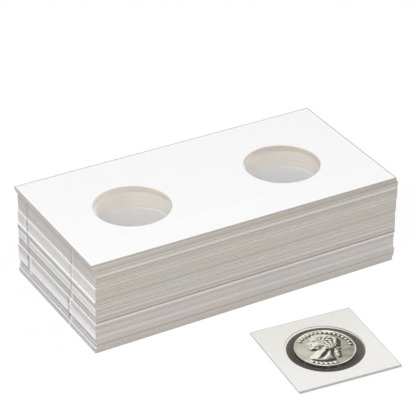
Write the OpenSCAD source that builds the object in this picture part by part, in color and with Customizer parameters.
// Stack of unfolded cardboard coin flips, with one small folded flip that holds a coin.
// Each flip is a card with two round windows, a strip of clear film and a scored crease.
// Millimetres, +Z up. The origin is the middle of the stack's bottom face, +X along the flips.

/* [Unfolded flip] */
// Length of a flip's card, along X
flip_l = 101.6; // [84:0.2:130]
// Width of a flip's card, along Y
flip_w = 50.8; // [40:0.2:65]
// Thickness of the card
card_t = 0.27; // [0.2:0.01:0.5]
// Thickness of the clear film
film_t = 0.03; // [0.02:0.01:0.06]
// Diameter of each window
window_d = 23.2; // [16:0.2:26]
// Distance from the crease to each window's centre
window_x = 25.4; // [16:0.1:27]
// How far the windows lie in front of the card's long centre line
window_y = 1.5; // [0:0.1:3]
// How far the film strip reaches past the windows towards the front
film_front_lap = 1.8; // [1:0.1:5]
// How far the film strip reaches past the windows towards the back
film_back_lap = 8.4; // [1:0.1:10]
// Width of the score that the card folds at
score_w = 0.5; // [0.3:0.1:1]
// Depth of the score in the card's outer face
score_t = 0.1; // [0.05:0.01:0.15]
// How far the score stops short of the card's front and back edges
score_end = 1.5; // [0.5:0.1:5]

/* [Stack] */
// Number of flips in the stack
flip_count = 100; // [40:1:140]
// Flips at the top that have slipped out of line, the three separate ones included
slipped_count = 8; // [5:1:14]
// How far the top flip has slipped to the left
slip_x = 1.2; // [0:0.1:3]
// How far the top flip has slipped to the front
slip_y = 1.2; // [0:0.1:3]
// Turn of the wads under the slipped flips, in degrees
wad_yaw = 0.5; // [-2:0.1:2]
// How far a flip may sit out of line in its wad
ragged = 0.05; // [0:0.01:0.3]
// Multiplies how far the wads sit out of line
wad_spread = 1; // [0:0.1:2]

/* [Crease of the top flip] */
// Gap between the two leaves' edges at the crease
crease_gap = 0.2; // [0.1:0.05:0.6]

/* [Loose flip] */
// Width of card round its window, at the narrowest
leaf_margin = 4.5; // [4:0.1:14]
// Place of its centre along X
small_x = 6.5; // [-10:0.5:30]
// Place of its centre in front of the stack's centre
small_y = 57; // [50:0.5:80]
// Its turn on the table, in degrees
small_yaw = -5; // [-20:1:20]
// Gap between its two films where the leaves lie together
leaf_gap = 0.1; // [0.05:0.01:0.3]
// How far its film reaches past the window
small_film_lap = 3; // [1:0.1:4]
// Width of the ring of film that holds to the card's window before it slopes to the coin
film_step = 0.3; // [0.2:0.05:0.6]

/* [Coin] */
// Ring of film left free between the coin and the window
coin_ring = 2.65; // [1:0.05:4]
// Thickness of the coin over its rims
coin_t = 1.5; // [1.2:0.05:2.4]
// Width of the raised rim
rim_w = 0.5; // [0.4:0.05:1.2]
// Height of the rim over the field
rim_t = 0.25; // [0.08:0.01:0.3]
// How far the head and the beads stay below the rim
relief_drop = 0.02; // [0.01:0.01:0.05]
// Turn of the coin in the loose flip, in degrees
coin_yaw = -28; // [-180:1:180]
// Running gap between the coin and the films
coin_air = 0.02; // [0.01:0.01:0.1]
// Space between the beads and the square that holds the head
head_gap = 0.6; // [0.5:0.1:3]
// Angle from one bead to the next in its row, in degrees
bead_step = 10; // [6:0.5:20]
// Diameter of a bead
bead_d = 0.9; // [0.3:0.05:1.1]
// Space between the beads and the rim
bead_gap = 0.25; // [0.1:0.05:0.5]

/* [Hidden] */
$fn = 96;

// Flips that were cut together, counted from the bottom wad, for a stack of 92 below the slipped ones
WAD_FLIPS = [5, 4, 6, 17, 10, 10, 5, 15, 20];
// How far each wad sits to the left and to the front
WAD_LEFT = [0.4, 0, -0.1, 0.3, -0.1, 0, 0.1, -0.1, -0.4];
WAD_FRONT = [0, 0, 0.1, 0.1, -0.1, 0, 0, 0, -0.1];
RAGGED_SEED = 7;
// First and last angle of each row of beads inside the rim
BEAD_ROWS = [[20, 160], [245, 295]];

pitch = card_t + film_t;
film_front = -window_y - window_d / 2 - film_front_lap;
film_back = -window_y + window_d / 2 + film_back_lap;
film_w = film_back - film_front;

wad_total = flip_count - slipped_count;
top = flip_count - 1;
rag = rands(-ragged, ragged, 2 * flip_count, RAGGED_SEED);

// Number of flips below wad w, scaled from WAD_FLIPS to the stack's own count
function below(w) = round(wad_total * sum_of(WAD_FLIPS, w) / sum_of(WAD_FLIPS, len(WAD_FLIPS)));
function sum_of(list, n) = n == 0 ? 0 : list[n - 1] + sum_of(list, n - 1);
function wad_of(k, w = 0) = k < below(w + 1) ? w : wad_of(k, w + 1);
// Share of the top flip's slip that flip k has
function slipped(k) = (k - wad_total + 1) / slipped_count;
// Place of flip k, counted from 0 at the bottom
function left(k) = k >= wad_total ? slipped(k) * slip_x : wad_spread * WAD_LEFT[wad_of(k)] + rag[2 * k];
function front(k) = k >= wad_total ? slipped(k) * slip_y : wad_spread * WAD_FRONT[wad_of(k)] + rag[2 * k + 1];
function turn(k) = k >= wad_total ? (1 - slipped(k)) * wad_yaw : wad_yaw;

small_side = window_d + 2 * leaf_margin;
coin_d = window_d - 2 * coin_ring;
small_middle = coin_t / 2 + coin_air + film_t;
small_film_w = window_d + 2 * small_film_lap;
film_grip_r = window_d / 2 - film_step;
film_drum_r = coin_d / 2 + coin_air;
field_r = coin_d / 2 - rim_w;
relief_t = rim_t - relief_drop;
bead_ring_r = field_r - bead_gap - bead_d / 2;
head_h = 2 * (bead_ring_r - bead_d / 2 - head_gap);

CARD = "#f4f3f0";
CARD_EDGE = "#c9c3bb";
FILM = [0.93, 0.94, 0.95, 0.35];
DARK_FILM = [0.35, 0.33, 0.31, 0.6];
SILVER = "#b0aea4";

// Card between two places along X, cut out where the windows are
module card_cut(from, to) {
  linear_extrude(card_t) difference() {
    translate([from, -flip_w / 2]) square([to - from, flip_w]);
    for (side = [-1, 1]) translate([side * window_x, -window_y]) circle(d = window_d);
  }
}

// One unfolded card with its score across the outer face, which lies down
module card() {
  difference() {
    card_cut(-flip_l / 2, flip_l / 2);
    translate([-score_w / 2, score_end - flip_w / 2, -score_t])
      cube([score_w, flip_w - 2 * score_end, 2 * score_t]);
  }
}

// Clear film on the card's upper face, between two places along X
module film(from, to) {
  translate([from, film_front, card_t]) cube([to - from, film_w, film_t]);
}

// Puts a piece at flip k of the stack
module at_flip(k) {
  translate([-left(k), -front(k), k * pitch]) rotate(turn(k)) children();
}

module cards_of(first, last) {
  for (k = [first:last]) at_flip(k) card();
}

module films_of(first, last) {
  for (k = [first:last]) at_flip(k) film(-flip_l / 2, flip_l / 2);
}

module wad_cards(w) {
  color(CARD_EDGE) cards_of(below(w - 1), below(w) - 1);
}

module wad_films(w) {
  color(FILM) films_of(below(w - 1), below(w) - 1);
}

// Top flip, in two leaves that meet at the crease
module top_left_leaf() {
  color(CARD) at_flip(top) card_cut(-flip_l / 2, -crease_gap / 2);
}

module top_right_leaf() {
  color(CARD) at_flip(top) card_cut(crease_gap / 2, flip_l / 2);
}

module top_left_film() {
  color(FILM) at_flip(top) film(-flip_l / 2, -crease_gap / 2);
}

module top_right_film() {
  color(FILM) at_flip(top) film(crease_gap / 2, flip_l / 2);
}

// The next two flips, each free to be lifted off
module second_card() {
  color(CARD) cards_of(top - 1, top - 1);
}

module second_film() {
  color(FILM) films_of(top - 1, top - 1);
}

module third_card() {
  color(CARD) cards_of(top - 2, top - 2);
}

module third_film() {
  color(FILM) films_of(top - 2, top - 2);
}

// The slipped flips below those, which stay on the upper wads
module slipped_cards() {
  color(CARD_EDGE) cards_of(wad_total, top - 3);
}

module slipped_films() {
  color(FILM) films_of(wad_total, top - 3);
}

// Puts a piece at the loose flip, which lies on the table on its coin
module at_small(z = 0) {
  translate([small_x, -small_y, z]) rotate(small_yaw) children();
}

// One square leaf of the loose flip
module small_leaf() {
  linear_extrude(card_t) difference() {
    square(small_side, center = true);
    circle(d = window_d);
  }
}

// Film of one leaf, drawn over the coin as a low drum that bulges down by depth
module small_film(depth) {
  linear_extrude(film_t) difference() {
    square([small_side, small_film_w], center = true);
    circle(film_grip_r);
  }
  rotate_extrude() polygon([
    [0, -depth], [film_drum_r + film_t, -depth], [film_grip_r, 0], [film_grip_r + film_step, 0],
    [film_grip_r + film_step, film_t], [film_grip_r - film_t, film_t], [film_drum_r, film_t - depth],
    [0, film_t - depth],
  ]);
}

module loose_back_leaf() {
  color(CARD) at_small(small_middle - leaf_gap / 2 - pitch) small_leaf();
}

module loose_front_leaf() {
  color(CARD) at_small(small_middle + leaf_gap / 2 + film_t) small_leaf();
}

module loose_back_film() {
  rise = small_middle - leaf_gap / 2 - film_t;
  color(DARK_FILM) at_small(rise) small_film(rise);
}

module loose_front_film() {
  rise = small_middle - leaf_gap / 2 - film_t;
  color(FILM) at_small(small_middle * 2 - rise) mirror([0, 0, 1]) small_film(rise);
}

// Half of the coin's section, with a rim on both faces
module coin_section() {
  polygon([
    [0, -coin_t / 2 + rim_t], [field_r, -coin_t / 2 + rim_t], [field_r + rim_t, -coin_t / 2],
    [coin_d / 2, -coin_t / 2], [coin_d / 2, coin_t / 2], [field_r + rim_t, coin_t / 2],
    [field_r, coin_t / 2 - rim_t], [0, coin_t / 2 - rim_t],
  ]);
}

// Plain head in profile on a bust, drawn in a square of one unit and facing left
module head() {
  // Skull and hair
  translate([0.02, 0.23]) circle(0.27);
  // Face from the hair to the jaw
  polygon([
    [-0.19, 0.41], [-0.3, 0.35], [-0.325, 0.26], [-0.305, 0.21], [-0.375, 0.1], [-0.33, 0.07],
    [-0.335, 0.02], [-0.31, -0.02], [-0.325, -0.07], [-0.29, -0.11], [-0.15, -0.1], [0.1, -0.05], [0.15, 0.2],
  ]);
  // Neck and shoulder, down to the cut of the bust
  polygon([
    [-0.15, 0], [-0.16, -0.22], [-0.27, -0.41], [-0.2, -0.46], [-0.04, -0.49], [0.12, -0.47],
    [0.24, -0.4], [0.18, -0.28], [0.16, -0.14], [0.19, 0.05],
  ]);
  // Bow and the tied hair behind the neck
  translate([0.24, -0.03]) circle(0.07);
  translate([0.26, -0.14]) circle(0.06);
  translate([0.28, -0.24]) circle(0.055);
}

// Rows of beads just inside the rim, where a coin has its lettering
module beads() {
  for (row = BEAD_ROWS, turn = [row[0]:bead_step:row[1]]) rotate(turn) translate([bead_ring_r, 0])
    cylinder(h = rim_t + relief_t, d = bead_d, $fn = 16);
}

module coin() {
  relief_root = coin_t / 2 - 2 * rim_t;
  color(SILVER) at_small(small_middle) rotate(coin_yaw) {
    rotate_extrude() coin_section();
    for (face = [0, 1]) mirror([0, 0, face]) translate([0, 0, relief_root]) beads();
    translate([0, 0, relief_root]) linear_extrude(rim_t + relief_t) scale(head_h) head();
  }
}

top_left_leaf();
top_right_leaf();
top_left_film();
top_right_film();
second_card();
second_film();
third_card();
third_film();
slipped_cards();
slipped_films();
wad_cards(1);  // wad_1_cards
wad_cards(2);  // wad_2_cards
wad_cards(3);  // wad_3_cards
wad_cards(4);  // wad_4_cards
wad_cards(5);  // wad_5_cards
wad_cards(6);  // wad_6_cards
wad_cards(7);  // wad_7_cards
wad_cards(8);  // wad_8_cards
wad_cards(9);  // wad_9_cards
wad_films(1);  // wad_1_films
wad_films(2);  // wad_2_films
wad_films(3);  // wad_3_films
wad_films(4);  // wad_4_films
wad_films(5);  // wad_5_films
wad_films(6);  // wad_6_films
wad_films(7);  // wad_7_films
wad_films(8);  // wad_8_films
wad_films(9);  // wad_9_films
loose_back_leaf();
loose_front_leaf();
loose_back_film();
loose_front_film();
coin();
